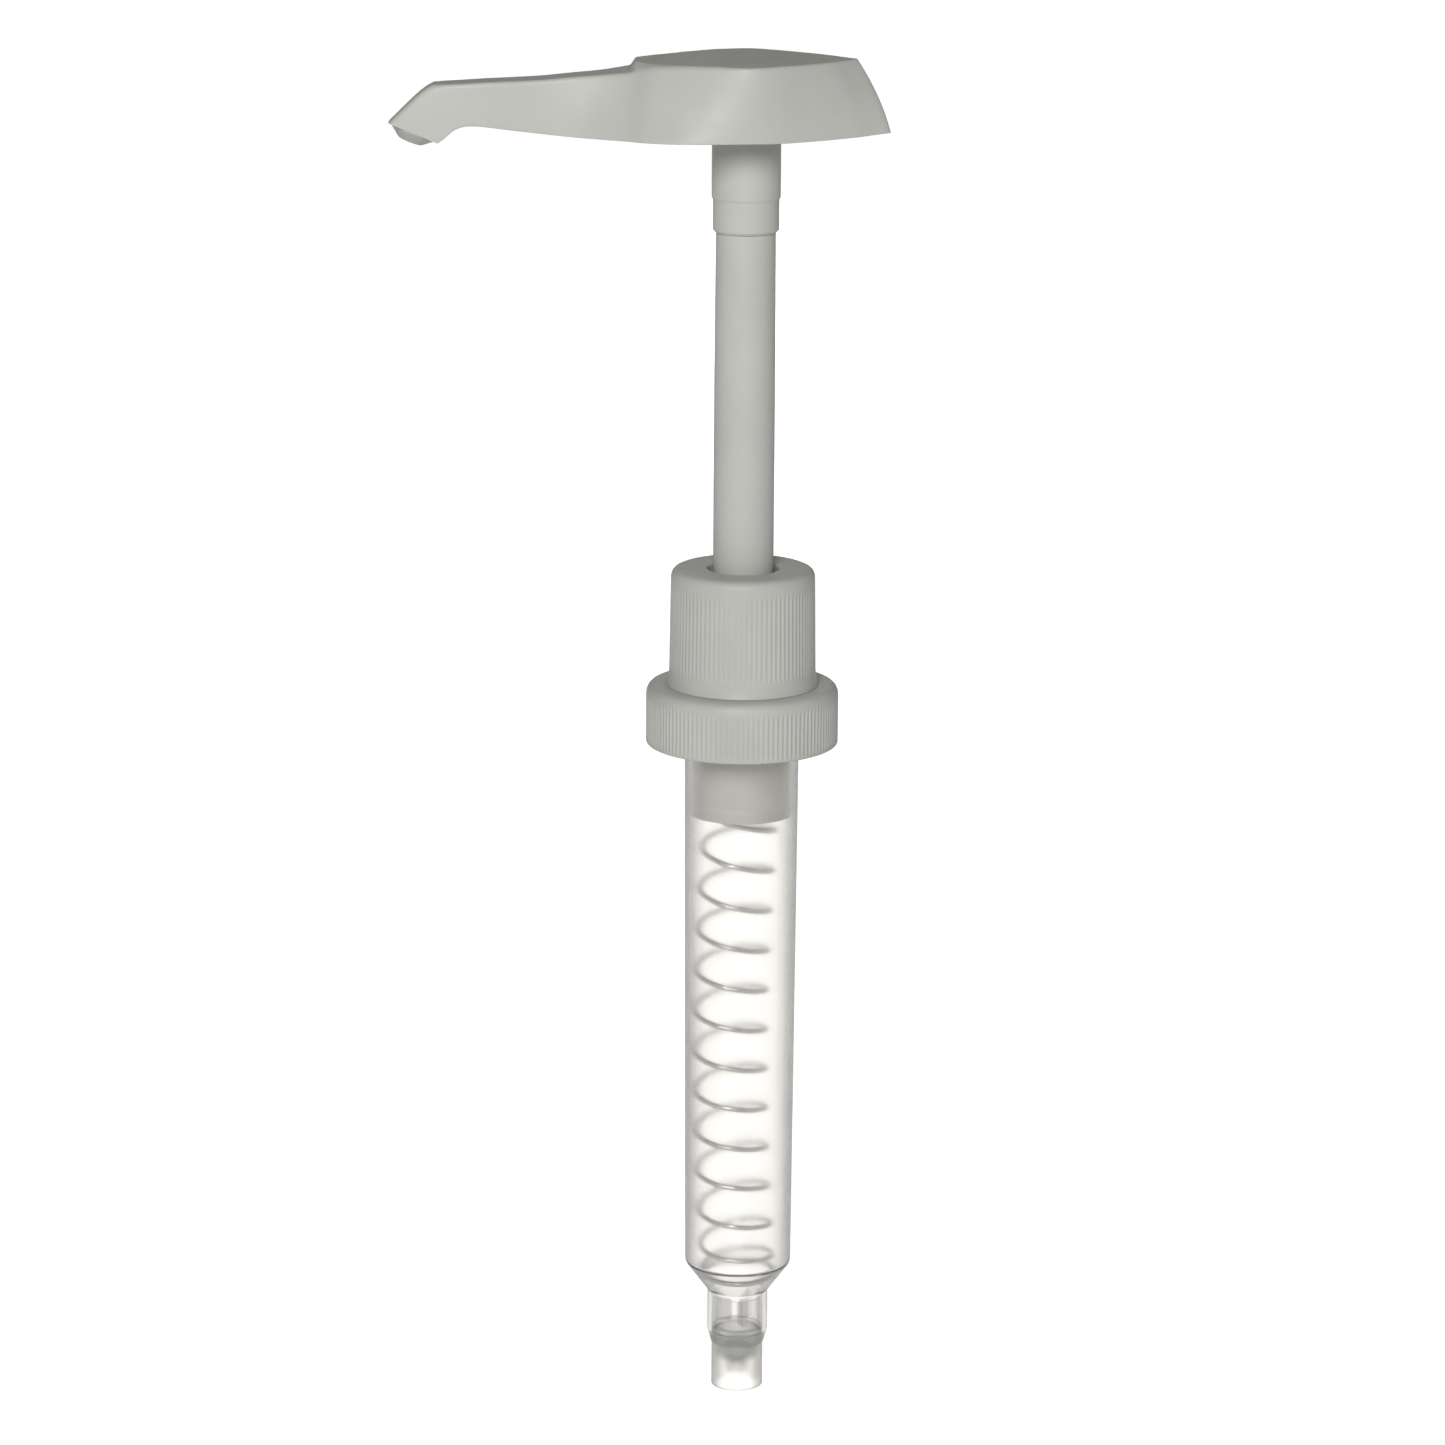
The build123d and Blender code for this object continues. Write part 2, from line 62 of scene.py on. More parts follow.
# closure and lock collar
CAP_R, CAP_WALL_R, CAP_HOLE_R = 21.25, 19.15, 13.7
CAP_BOTTOM, CAP_TOP, CAP_CEILING = -8.8, 4.53, 2.8
CAP_RIBS, CAP_RIB_DEPTH, CAP_RIB_LOW, CAP_RIB_HIGH = 120, 0.2, -8.3, 2.2
THREAD_PITCH, THREAD_TURNS, THREAD_START, THREAD_DEPTH = 4.233, 1.1, -6.9, 1.2
COLLAR_FOOT, COLLAR_TOP, COLLAR_CEILING = 4.63, 30.56, 25.0
COLLAR_BASE_R, COLLAR_WAIST_R, COLLAR_TOP_R = 16.9, 16.15, 15.85
COLLAR_WAIST_Z, COLLAR_HOLE_R, COLLAR_BORE_R = 8.6, 7.9, 13.45
COLLAR_RIBS, COLLAR_RIB_DEPTH, COLLAR_RIB_LOW, COLLAR_RIB_HIGH = 90, 0.16, 8.0, 26.96
RIB_FADE = 0.8  # height over which a grip rib runs out
SEGMENTS_PER_RIB = 8

# stem
STEM_R, STEM_TOP_R, STEM_BORE_R, SPIGOT_R = 6.65, 6.52, 4.8, 5.8
STEM_FOOT, STEM_BEAD_Z, STEM_TAPER_Z, STEM_SHOULDER, STEM_TOP = -18.1, -10.0, 70.0, 104.8, 121.0

# return spring
WIRE_R, COIL_R, SPRING_BOW = 0.55, 8.05, 2.0
SPRING_TOP_Z, SPRING_FOOT_Z = -23.07, -133.35
# (turns, height): closed coil, even pitch, then two tighter turns into the closed coil at the foot
SPRING_RISE = [(-1.28, SPRING_TOP_Z), (-0.38, SPRING_TOP_Z), (0, -26.48), (10, -119.95),
               (11, -128.1), (12, SPRING_FOOT_Z), (12.75, SPRING_FOOT_Z)]

# head
PAD_TOP, PAD_END_X, PAD_END_SLOPE, PAD_FILLET = 142.35, -24.0, 1.56, 0.25
ROOF, WALL = 2.3, 1.8
CAVITY_END_X = -25.0
INSIDE_TOP = PAD_TOP - ROOF + 0.3  # the boss and ribs reach this far into the roof
FOOT_ROUND, TOP_ROUND, TIP_EXTRA_ROUND = 0.4, 0.9, 1.0  # edges of the side walls
RIDGE_BOW = 0.8  # how far the rear ridge bows out
ROWS_PER_STATION = 14
# stations from the rear ridge to the tip of the spout: x, half width and height of the wall's foot,
# then of its top edge
HEAD_STATIONS = [
    (31.0, 0.0, 126.5, 23.6, 0.0, 142.3),
    (30.6, 1.3, 126.5, 23.2, 1.0, 142.35),
    (27.0, 3.9, 126.35, 20.4, 4.2, 142.35),
    (23.0, 6.9, 126.2, 17.2, 7.6, 142.35),
    (15.0, 12.6, 126.15, 11.5, 12.3, 142.35),
    (6.7, 17.6, 126.2, 5.5, 16.4, 142.35),
    (0.0, 19.6, 126.3, 0.5, 18.6, 142.35),
    (-6.7, 20.5, 126.3, -5.0, 17.4, 142.2),
    (-11.8, 20.3, 126.25, -11.0, 14.9, 141.95),
    (-16.0, 19.4, 126.15, -15.5, 12.9, 141.6),
    (-21.5, 17.1, 126.05, -20.5, 10.4, 141.0),
    (-26.5, 13.3, 125.95, -25.2, 7.3, 139.95),
    (-32.5, 9.5, 125.85, -31.5, 5.3, 139.1),
    (-38.0, 7.0, 125.95, -37.5, 4.8, 138.55),
    (-45.0, 5.4, 126.45, -44.5, 4.5, 137.85),
    (-52.0, 5.0, 127.15, -51.5, 4.3, 137.45),
    (-57.0, 4.9, 127.7, -57.0, 4.2, 137.15),
    (-60.3, 4.8, 127.7, -62.0, 4.1, 136.8),
    (-62.4, 4.6, 127.0, -66.1, 4.0, 136.6),
    (-63.8, 4.5, 126.0, -67.8, 4.0, 136.3),
    (-65.0, 4.4, 124.9, -70.9, 3.9, 134.1),
    (-66.3, 4.3, 124.0, -77.0, 3.7, 128.2),
]
# raised thumb pad: x, half width and height
PAD_PLAN = [(-24.0, 4.0, 141.95), (-20.0, 8.6, 141.9), (-12.0, 14.0, 142.05), (-6.0, 16.9, 142.25),
            (0.5, 18.6, PAD_TOP)]
SOCKET_R, BOSS_R, BOSS_FOOT = 7.475, 9.3, 129.6
# ribs across the hollow: name, x and half length
HEAD_RIBS = [("head_rib_rear", 13, 10.4), ("head_rib_front", -13, 13.6)]
HEAD_RIB_THICK = 1.6
NOZZLE_BORE_R, NOZZLE_RIM_R, NOZZLE_STANDOUT, NOZZLE_DEPTH = 2.1, 2.7, 2.2, 2.5
NOZZLE_LONG, NOZZLE_HALF_W = 5.2, 4.0
SPIGOT_FIT_R, CHANNEL_R, CHANNEL_DEPTH, CHANNEL_END_R = 2.85, 2.3, 5.5, 1.0
TIP_FRONT, TIP_HEEL = (-77.0, 128.2), (-66.3, 124.0)  # ends of the outlet's face

# looks
SOLID_INSIDE, SOLID_ALPHA = 5.0, 0.22  # within this radius the cage lets less through
POLISHED, POLISH_FADE = 0.55, 3.0  # share of the haze left below the foot, and where it changes

# studio
FLOOR_Z, FLOOR_REACH = -160.6, 9000
FLOOR_SEEN, FLOOR_GLOW = 0.97, 0.44
LENS, SENSOR, CLIP_END = 127.68, 36, 50
CAMERA_AT = (-0.0043, -1.1, 0.2735)  # in metres
PITCH_DOWN, ROLL = math.radians(14.19), math.radians(0.41)


# ---------------------------------------------------------------- materials
def node_material(name):
    """A new material with its node tree, its shader and the object's coordinates."""
    material = bpy.data.materials.new(name)
    material.use_nodes = True
    tree = material.node_tree
    shader = tree.nodes["Principled BSDF"]
    place = tree.nodes.new("ShaderNodeTexCoord")
    return material, tree, shader, place.outputs["Object"]


def noise(tree, where, scale, detail=3.0, stretch=None):
    """Noise over the surface, in cycles per metre, drawn out along an axis by stretch."""
    if stretch:
        mapping = tree.nodes.new("ShaderNodeMapping")
        mapping.inputs["Scale"].default_value = stretch
        tree.links.new(where, mapping.inputs["Vector"])
        where = mapping.outputs["Vector"]
    node = tree.nodes.new("ShaderNodeTexNoise")
    node.inputs["Scale"].default_value = scale
    node.inputs["Detail"].default_value = detail
    tree.links.new(where, node.inputs["Vector"])
    return node.outputs["Fac"]


def ramp(tree, factor, stops):
    """Colours or grey levels by position."""
    node = tree.nodes.new("ShaderNodeValToRGB")
    elements = node.color_ramp.elements
    while len(elements) < len(stops):
        elements.new(0.5)
    for element, (position, value) in zip(elements, stops):
        element.position = position
        element.color = (*value, 1) if isinstance(value, tuple) else (value, value, value, 1)
    tree.links.new(factor, node.inputs["Fac"])
    return node.outputs["Color"]


def math_node(tree, operation, first, second):
    node = tree.nodes.new("ShaderNodeMath")
    node.operation = operation
    tree.links.new(first, node.inputs[0])
    tree.links.new(second, node.inputs[1])
    return node.outputs["Value"]


def map_range(tree, value, from_low, from_high, to_low, to_high):
    node = tree.nodes.new("ShaderNodeMapRange")
    node.inputs["From Min"].default_value = from_low
    node.inputs["From Max"].default_value = from_high
    node.inputs["To Min"].default_value = to_low
    node.inputs["To Max"].default_value = to_high
    tree.links.new(value, node.inputs["Value"])
    return node.outputs["Result"]


def by_facing(tree, stops):
    """A ramp from what faces the eye to what is seen edge on."""
    facing = tree.nodes.new("ShaderNodeLayerWeight")
    facing.inputs["Blend"].default_value = 0.5
    return ramp(tree, facing.outputs["Facing"], stops)


def bump(tree, shader, height, strength, distance):
    """Fine relief. The distance is in metres."""
    node = tree.nodes.new("ShaderNodeBump")
    node.inputs["Strength"].default_value = strength
    node.inputs["Distance"].default_value = distance
    tree.links.new(height, node.inputs["Height"])
    tree.links.new(node.outputs["Normal"], shader.inputs["Normal"])


def axis_distance(tree, where):
    """Distance from the pump's axis, in metres."""
    flat = tree.nodes.new("ShaderNodeVectorMath")
    flat.operation = "MULTIPLY"
    flat.inputs[1].default_value = (1, 1, 0)
    tree.links.new(where, flat.inputs[0])
    radius = tree.nodes.new("ShaderNodeVectorMath")
    radius.operation = "LENGTH"
    tree.links.new(flat.outputs["Vector"], radius.inputs[0])
    return radius.outputs["Value"]


def plastic(name, colour, roughness, grain=2600, grain_depth=0.00002, haze_and_edge_shade_alpha=None, gloss_level=0.5,
            solid_inside=None):
    """Moulded plastic: cloudy colour, uneven gloss and a fine grain. The opacity, where given, goes by
    facing: the plastic's own haze where it faces the eye, rising towards the edges as painted shade, and
    within the radius solid_inside the plastic lets less through."""
    material, tree, shader, where = node_material(name)
    dark = tuple(c * 0.95 for c in colour)
    light = tuple(min(1, c * 1.05) for c in colour)
    cloud = noise(tree, where, 45, 4)
    tree.links.new(ramp(tree, cloud, [(0.3, dark), (0.7, light)]), shader.inputs["Base Color"])
    gloss = ramp(tree, noise(tree, where, 160, 2), [(0.35, roughness * 0.85), (0.65, roughness * 1.15)])
    tree.links.new(gloss, shader.inputs["Roughness"])
    bump(tree, shader, noise(tree, where, grain, 2), 0.25, grain_depth)
    shader.inputs["IOR"].default_value = 1.5
    shader.inputs["Specular IOR Level"].default_value = gloss_level
    # opacity rising edge on shows the colour more at the edges: painted shade
    if haze_and_edge_shade_alpha:
        shown = by_facing(tree, haze_and_edge_shade_alpha)
        if solid_inside:
            edge = solid_inside * MM
            inner = map_range(tree, axis_distance(tree, where), edge - 0.1 * MM, edge, SOLID_ALPHA, 0)
            shown = math_node(tree, "MAXIMUM", shown, inner)
        tree.links.new(shown, shader.inputs["Alpha"])
    return material


def hazy(name, tints_and_edge_shade, roughness, clear_below=None):
    """Clear plastic with a faint haze: what is close behind it looks sharp and the rest soft. The colours go
    by facing:
    the plastic's own faint tint where it faces the eye, then darker towards the edges as painted shade, and
    the plastic is polished below the height clear_below."""
    material, tree, shader, where = node_material(name)
    # near white facing the eye, dark grey edge on: painted shade at the edges
    tree.links.new(by_facing(tree, tints_and_edge_shade), shader.inputs["Base Color"])
    gloss = ramp(tree, noise(tree, where, 160, 2), [(0.35, roughness * 0.92), (0.65, roughness * 1.08)])
    if clear_below:
        split = tree.nodes.new("ShaderNodeSeparateXYZ")
        tree.links.new(where, split.inputs["Vector"])
        low, high = (clear_below - POLISH_FADE) * MM, (clear_below + POLISH_FADE) * MM
        share = map_range(tree, split.outputs["Z"], low, high, POLISHED, 1)
        gloss = math_node(tree, "MULTIPLY", gloss, share)
    tree.links.new(gloss, shader.inputs["Roughness"])
    shader.inputs["Transmission Weight"].default_value = 1.0
    shader.inputs["IOR"].default_value = 1.45
    return material


def steel(name, colour, roughness, stretch):
    """Drawn or ground steel with fine lines along the stretch."""
    material, tree, shader, where = node_material(name)
    lines = noise(tree, where, 900, 3, stretch)
    dark = tuple(c * 0.8 for c in colour)
    tree.links.new(ramp(tree, lines, [(0.3, dark), (0.7, colour)]), shader.inputs["Base Color"])
    gloss = ramp(tree, lines, [(0.2, roughness * 0.8), (0.8, roughness * 1.3)])
    tree.links.new(gloss, shader.inputs["Roughness"])
    bump(tree, shader, lines, 0.15, 0.00001)
    shader.inputs["Metallic"].default_value = 1.0
    return material


grey_plastic = plastic("moulded_grey_plastic", (0.452, 0.45, 0.424), 0.42, gloss_level=0.2)
nozzle_plastic = plastic("moulded_nozzle_plastic", (0.36, 0.352, 0.33), 0.38)
seal_plastic = plastic("soft_seal_plastic", (0.45, 0.445, 0.425), 0.5)
# the tube's colour darkens towards its edges: painted shade
clear_plastic = hazy(
    "clear_tube_plastic",
    [(0.0, (0.995, 0.985, 0.97)), (0.22, (0.985, 0.965, 0.94)), (0.42, (0.82, 0.81, 0.79)),
     (0.62, (0.54, 0.54, 0.53)), (1.0, (0.22, 0.22, 0.22))],
    0.24, clear_below=FOOT_Z,
)
# dark grey shown more towards the edges: painted shade on the clear cage
cage_plastic = plastic(
    "clear_cage_plastic", (0.13, 0.14, 0.14), 0.2,
    haze_and_edge_shade_alpha=[(0.0, 0.02), (0.5, 0.1), (1.0, 0.6)], solid_inside=SOLID_INSIDE,
)
# the pale haze is the valve's own colour; its opacity rising towards the edges adds painted shade
valve_plastic = plastic(
    "hazy_valve_plastic", (0.46, 0.49, 0.51), 0.3, haze_and_edge_shade_alpha=[(0.0, 0.26), (0.6, 0.34), (1.0, 0.6)],
)
# the dip tube's colour darkens towards its edges: painted shade
tube_plastic = hazy(
    "natural_tube_plastic",
    [(0.0, (0.995, 0.98, 0.95)), (0.2, (0.97, 0.945, 0.91)), (0.42, (0.62, 0.605, 0.58)),
     (1.0, (0.25, 0.245, 0.24))],
    0.3,
)
seal_rubber = plastic("gasket_rubber", (0.30, 0.30, 0.29), 0.6, grain=1500, grain_depth=0.00004)
spring_steel = steel("spring_wire_steel", (0.46, 0.45, 0.435), 0.3, (0.3, 0.3, 3.0))
ball_steel = steel("ground_ball_steel", (0.62, 0.62, 0.62), 0.18, (1, 1, 1))


# ---------------------------------------------------------------- mesh helpers
def mesh_piece(name, verts, faces, material, sharp=32):
    """An object from vertices in millimetres, welded, with outward normals and sharp edges kept."""
    mesh = bpy.data.meshes.new(name)
    mesh.from_pydata((np.array(verts, float) * MM).tolist(), [], faces)
    body = bmesh.new()
    body.from_mesh(mesh)
    bmesh.ops.remove_doubles(body, verts=body.verts, dist=WELD)
    bmesh.ops.dissolve_degenerate(body, edges=body.edges, dist=WELD)
    bmesh.ops.recalc_face_normals(body, faces=body.faces)
    body.to_mesh(mesh)
    body.free()
    mesh.materials.append(material)
    mesh.shade_smooth()
    mesh.set_sharp_from_angle(angle=math.radians(sharp))
    piece = bpy.data.objects.new(name, mesh)
    bpy.context.scene.collection.objects.link(piece)
    return piece


def rounded(*corners, steps=6):
    """A closed (radius, height) outline from (radius, height, rounding) corners."""
    outline = []
    for i, (r, z, rounding) in enumerate(corners):
        here = np.array((r, z), float)
        if not rounding:
            outline.append(here)
            continue
        back = np.array(corners[i - 1][:2]) - here
        on = np.array(corners[(i + 1) % len(corners)][:2]) - here
        back, on = back / np.linalg.norm(back), on / np.linalg.norm(on)
        half = math.acos(np.clip(back @ on, -1, 1)) / 2
        start, end = here + back * rounding / math.tan(half), here + on * rounding / math.tan(half)
        for t in np.linspace(0, 1, steps):
            outline.append(start * (1 - t) ** 2 + here * 2 * t * (1 - t) + end * t * t)
    return outline


def refined(outline, step):
    """The outline with its long edges divided, so that a ripple can follow them."""
    out = []
    for here, on in zip(outline, outline[1:] + outline[:1]):
        parts = max(1, math.ceil(np.linalg.norm(on - here) / step))
        out += [here + (on - here) * k / parts for k in range(parts)]
    return out


def lathe(outline, segments, ripple=None):
    """Vertices and faces of a turned ring. ripple(radius, height, angle) is added to the radius."""
    count = len(outline)
    verts, faces = [], []
    for i in range(segments):
        angle = 2 * math.pi * i / segments
        for r, z in outline:
            wide = r + ripple(r, z, angle) if ripple else r
            verts.append((wide * math.cos(angle), wide * math.sin(angle), z))
        j = (i + 1) % segments
        for k in range(count):
            m = (k + 1) % count
            faces.append((i * count + k, j * count + k, j * count + m, i * count + m))
    return verts, faces


def rise(value, low, high):
    """0 below low, 1 above high, smooth between."""
    t = min(1, max(0, (value - low) / (high - low)))
    return t * t * (3 - 2 * t)


def grip(count, depth, low, high):
    """Ripple of vertical grip ribs between two heights."""
    def ripple(r, z, angle):
        fade = rise(z, low, low + RIB_FADE) * (1 - rise(z, high - RIB_FADE, high))
        return -depth * fade * (0.5 - 0.5 * math.cos(count * angle)) ** 0.8
    return ripple


def place(piece, body, slot, *nodes):
    """Puts a piece on its body, in place of the nodes. The slot is not used."""
    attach(piece, body)
    if nodes:
        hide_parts(*nodes)
    return piece


def turned(name, outline, body, slot, material, *nodes, segments=144, ripple=None):
    return place(mesh_piece(name, *lathe(outline, segments, ripple), material), body, slot, *nodes)


# ---------------------------------------------------------------- pump housing
def snap_bead(r, crest):
    """Corners of a bead around a wall, from the top down."""
    return [(r, crest + 1.6, 0), (r + 0.5, crest, 0.4), (r, crest - 1.6, 0)]


turned(
    "clear_pump_tube",
    rounded(
        (BORE_R, UPPER_NECK_TOP, 0.4),
        (UPPER_NECK_R, UPPER_NECK_TOP, 0.4),
        *snap_bead(UPPER_NECK_R, SNAP_Z),
        (UPPER_NECK_R, FLANGE_TOP, 0.2),
        (FLANGE_R, FLANGE_TOP, 0.3),
        (FLANGE_R, FLANGE_LOW, 0.3),
        (TUBE_TOP_R, FLANGE_LOW, 0),
        (TUBE_FOOT_R, FOOT_Z, 1.6),
        (NECK_R, CONE_END_Z, 1.0),
        (NECK_R, NECK_END_Z, 0.5),
        (RIM_R, HOUSING_END_Z, 0.1),
        (NECK_BORE_R, HOUSING_END_Z, 0.1),
        (NECK_BORE_R, CONE_END_Z + 0.3, 0.6),
        (BORE_R, FOOT_Z + 0.4, 1.0),
    ),
    "housing", "clear_plastic", clear_plastic, "pump_housing", segments=192,
)


# ---------------------------------------------------------------- closure
def cap_ripple(r, z, angle):
    """Grip ribs outside and the helical thread inside."""
    if r > CAP_R - 0.3:
        return grip(CAP_RIBS, CAP_RIB_DEPTH, CAP_RIB_LOW, CAP_RIB_HIGH)(r, z, angle)
    if abs(r - CAP_WALL_R) > 0.05:
        return 0
    for turn in (0, 1):
        along = angle / (2 * math.pi) + turn
        if along < THREAD_TURNS:
            off = abs(z - THREAD_START - THREAD_PITCH * along)
            ends = rise(along, 0, 0.05) * (1 - rise(along, THREAD_TURNS - 0.05, THREAD_TURNS))
            return -THREAD_DEPTH * ends * (1 - rise(off, 0.4, 1.2))
    return 0


turned(
    "ribbed_closure",
    refined(
        rounded(
            (CAP_WALL_R, CAP_BOTTOM, 0.2),
            (CAP_R, CAP_BOTTOM, 0.5),
            (CAP_R, CAP_TOP, 2.5),
            (CAP_HOLE_R, CAP_TOP, 0.3),
            (CAP_HOLE_R, CAP_CEILING, 0.2),
            (CAP_WALL_R, CAP_CEILING, 0),
        ),
        step=0.7,
    ),
    "closure", "grey_plastic", grey_plastic, "closure_cap",
    segments=SEGMENTS_PER_RIB * CAP_RIBS, ripple=cap_ripple,
)

# ---------------------------------------------------------------- lock collar
flare = [
    (
        COLLAR_WAIST_R + (COLLAR_BASE_R - COLLAR_WAIST_R) * (1 - t) ** 2.2,
        COLLAR_FOOT + (COLLAR_WAIST_Z - COLLAR_FOOT) * t,
        0,
    )
    for t in np.linspace(0, 1, 9)
]
collar_grip = grip(COLLAR_RIBS, COLLAR_RIB_DEPTH, COLLAR_RIB_LOW, COLLAR_RIB_HIGH)
turned(
    "ribbed_lock_collar",
    refined(
        rounded(
            *flare,
            (COLLAR_TOP_R, COLLAR_TOP, 2.2),
            (COLLAR_HOLE_R, COLLAR_TOP, 0.5),
            (COLLAR_HOLE_R, COLLAR_CEILING, 0.2),
            (COLLAR_BORE_R, COLLAR_CEILING, 0.2),
            *snap_bead(COLLAR_BORE_R, SNAP_Z),
            (COLLAR_BORE_R, COLLAR_FOOT, 0.2),
        ),
        step=1.0,
    ),
    "housing", "grey_plastic", grey_plastic, "lock_collar",
    segments=SEGMENTS_PER_RIB * COLLAR_RIBS,
    ripple=lambda r, z, angle: collar_grip(r, z, angle) if r > (COLLAR_BORE_R + COLLAR_TOP_R) / 2 else 0,
)

# ---------------------------------------------------------------- stem
turned(
    "stem_pipe",
    rounded(
        (STEM_BORE_R, STEM_FOOT, 0.2),
        (STEM_R, STEM_FOOT, 0.2),
        *reversed(snap_bead(STEM_R, STEM_BEAD_Z)),
        (STEM_R, STEM_TAPER_Z, 0),
        (STEM_TOP_R, STEM_SHOULDER, 0.2),
        (SPIGOT_R, STEM_SHOULDER, 0),
        (SPIGOT_R, STEM_TOP, 0.3),
        (STEM_BORE_R, STEM_TOP, 0.3),
    ),
    "head", "grey_plastic", grey_plastic, "stem_tube",
)


# ---------------------------------------------------------------- return spring
def spring_mesh(sides=12, per_turn=56):
    """A round wire wound left-handed on a slightly bowed axis, with each vertex's share of the stroke."""
    turns_at, heights_at = zip(*SPRING_RISE)
    turns = np.arange(turns_at[0], turns_at[-1], 1 / per_turn)
    heights = np.interp(turns, turns_at, heights_at)
    kernel = np.hanning(per_turn // 3)
    pad = len(kernel) // 2
    padded = np.pad(heights, pad, mode="edge")
    heights = np.convolve(padded, kernel / kernel.sum(), mode="same")[pad:-pad]
    length = SPRING_TOP_Z - SPRING_FOOT_Z
    share = np.clip((heights - SPRING_FOOT_Z) / length, 0, 1)
    angle = -math.pi / 2 + 2 * math.pi * turns
    bow = -SPRING_BOW * np.sin(math.pi * share)
    lean = -SPRING_BOW * math.pi / length * np.cos(math.pi * share)
    line = np.stack(
        [bow + COIL_R * np.cos(angle), COIL_R * np.sin(angle), heights - lean * COIL_R * np.cos(angle)],
        axis=1,
    )
    along = np.gradient(line, axis=0)
    along /= np.linalg.norm(along, axis=1)[:, None]
    out = np.stack([np.cos(angle), np.sin(angle), 0 * angle], axis=1)
    out -= along * np.sum(along * out, axis=1)[:, None]
    out /= np.linalg.norm(out, axis=1)[:, None]
    across = np.cross(along, out)
    verts, faces, shares = [], [], []
    for i, centre in enumerate(line):
        for k in range(sides):
            a = 2 * math.pi * k / sides
            verts.append(centre + WIRE_R * (math.cos(a) * out[i] + math.sin(a) * across[i]))
            shares.append(share[i])
            if i:
                m = (k + 1) % sides
                faces.append(((i - 1) * sides + k, (i - 1) * sides + m, i * sides + m, i * sides + k))
    faces.append(tuple(range(sides)))
    faces.append(tuple(range((len(line) - 1) * sides, len(line) * sides)))
    return verts, faces, shares


spring_verts, spring_faces, spring_shares = spring_mesh()
spring = mesh_piece("coiled_return_spring", spring_verts, spring_faces, spring_steel, sharp=60)
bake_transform(spring)
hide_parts("return_spring")


# ---------------------------------------------------------------- head
def smooth_rows(rows, steps):
    """A smooth curve through the rows, with steps rows for each given one."""
    rows = np.array(rows, float)
    padded = np.vstack([2 * rows[0] - rows[1], rows, 2 * rows[-1] - rows[-2]])
    t = np.linspace(0, 1, steps, endpoint=False)[:, None]
    out = []
    for a, b, c, d in zip(padded, padded[1:], padded[2:], padded[3:]):
        out.append(b + 0.5 * t * (c - a + t * (2 * a - 5 * b + 4 * c - d + t * (3 * (b - c) + d - a))))
    return np.vstack(out + [rows[-1:]])


def top_height(x, y, edge, half):
    """Height of the head's upper side. The flat thumb pad falls gently to the walls' top edges and steps
    down to the spout at its end."""
    plan_x, plan_half, plan_z = zip(*PAD_PLAN)
    flat = np.interp(x, plan_x, plan_half) if x < plan_x[-1] else half
    crest = np.interp(x, plan_x, plan_z)
    fall = min(1, max(0, y - flat) / max(half - flat, 0.01))
    body = crest - (crest - edge) * fall - PAD_END_SLOPE * max(0, PAD_END_X - x)
    above = (body - edge) / PAD_FILLET
    return min(PAD_TOP, edge + PAD_FILLET * math.log1p(math.exp(min(above, 30))))


def head_section(row, inner, columns=18):
    """Half a section of the head: along the hollow's roof and down its wall, or along a closed
    underside, then round the foot, up the wall and in to the middle of the top."""
    foot, top = np.array(row[:3]), np.array(row[3:])
    up = (top - foot) / np.linalg.norm(top - foot)
    foot_round = min(FOOT_ROUND, foot[1] * 0.4)
    top_round = min(TOP_ROUND + TIP_EXTRA_ROUND * rise(-top[0], 63, 69), top[1] * 0.45)
    inward = np.array((0, -1, 0))
    if inner is None:
        points = [foot * (1, t, 1) for t in np.linspace(0, 0.55, 11)]
    else:
        sill, roof = inner
        points = [roof * (1, t, 1) for t in (0, 0.25, 0.5, 0.75, 0.9, 0.97)]
        points += [roof + (sill - roof) * t for t in (0.06, 0.3, 0.55, 0.8, 1)]
    for t in np.linspace(0, 1, 4):
        start, end = foot + inward * foot_round, foot + up * foot_round
        points.append(start * (1 - t) ** 2 + foot * 2 * t * (1 - t) + end * t * t)
    low, high = foot + up * foot_round, top - up * top_round
    ridge = RIDGE_BOW * rise(foot[0], 12, 30)
    for t in np.linspace(0, 1, 12)[1:-1]:
        points.append(low + (high - low) * t + np.array((ridge * 4 * t * (1 - t), 0, 0)))
    shoulder = top + inward * top_round
    shoulder[2] = top_height(top[0], shoulder[1], top[2], top[1])
    for t in np.linspace(0, 1, 7):
        points.append(high * (1 - t) ** 2 + top * 2 * t * (1 - t) + shoulder * t * t)
    for t in np.linspace(0, 1, columns)[1:]:
        y = shoulder[1] * (1 - t)
        points.append(np.array((top[0], y, top_height(top[0], y, top[2], top[1]))))
    return points


def inset(points, wall):
    """Points moved in from their curve by the wall's thickness."""
    along = np.gradient(points, axis=0)
    along /= np.linalg.norm(along, axis=1)[:, None]
    return points - wall * np.stack([along[:, 1], -along[:, 0]], axis=1)


def head_sections(rows):
    """Every half section, hollow underneath from the rear to the start of the spout."""
    sills, roofs = inset(rows[:, 0:2], WALL), inset(rows[:, 3:5], WALL)
    sections = []
    for row, sill, roof in zip(rows, sills, roofs):
        inner = None
        if sill[1] > 0.3 and roof[1] > 0.3 and sill[0] > CAVITY_END_X:
            inner = np.array((*sill, row[2])), np.array((*roof, row[5] - ROOF))
        sections.append(head_section(row, inner))
    return sections


def mirrored_loop(half):
    """A whole section from its half."""
    return [tuple(p) for p in half] + [(p[0], -p[1], p[2]) for p in half[-2:0:-1]]


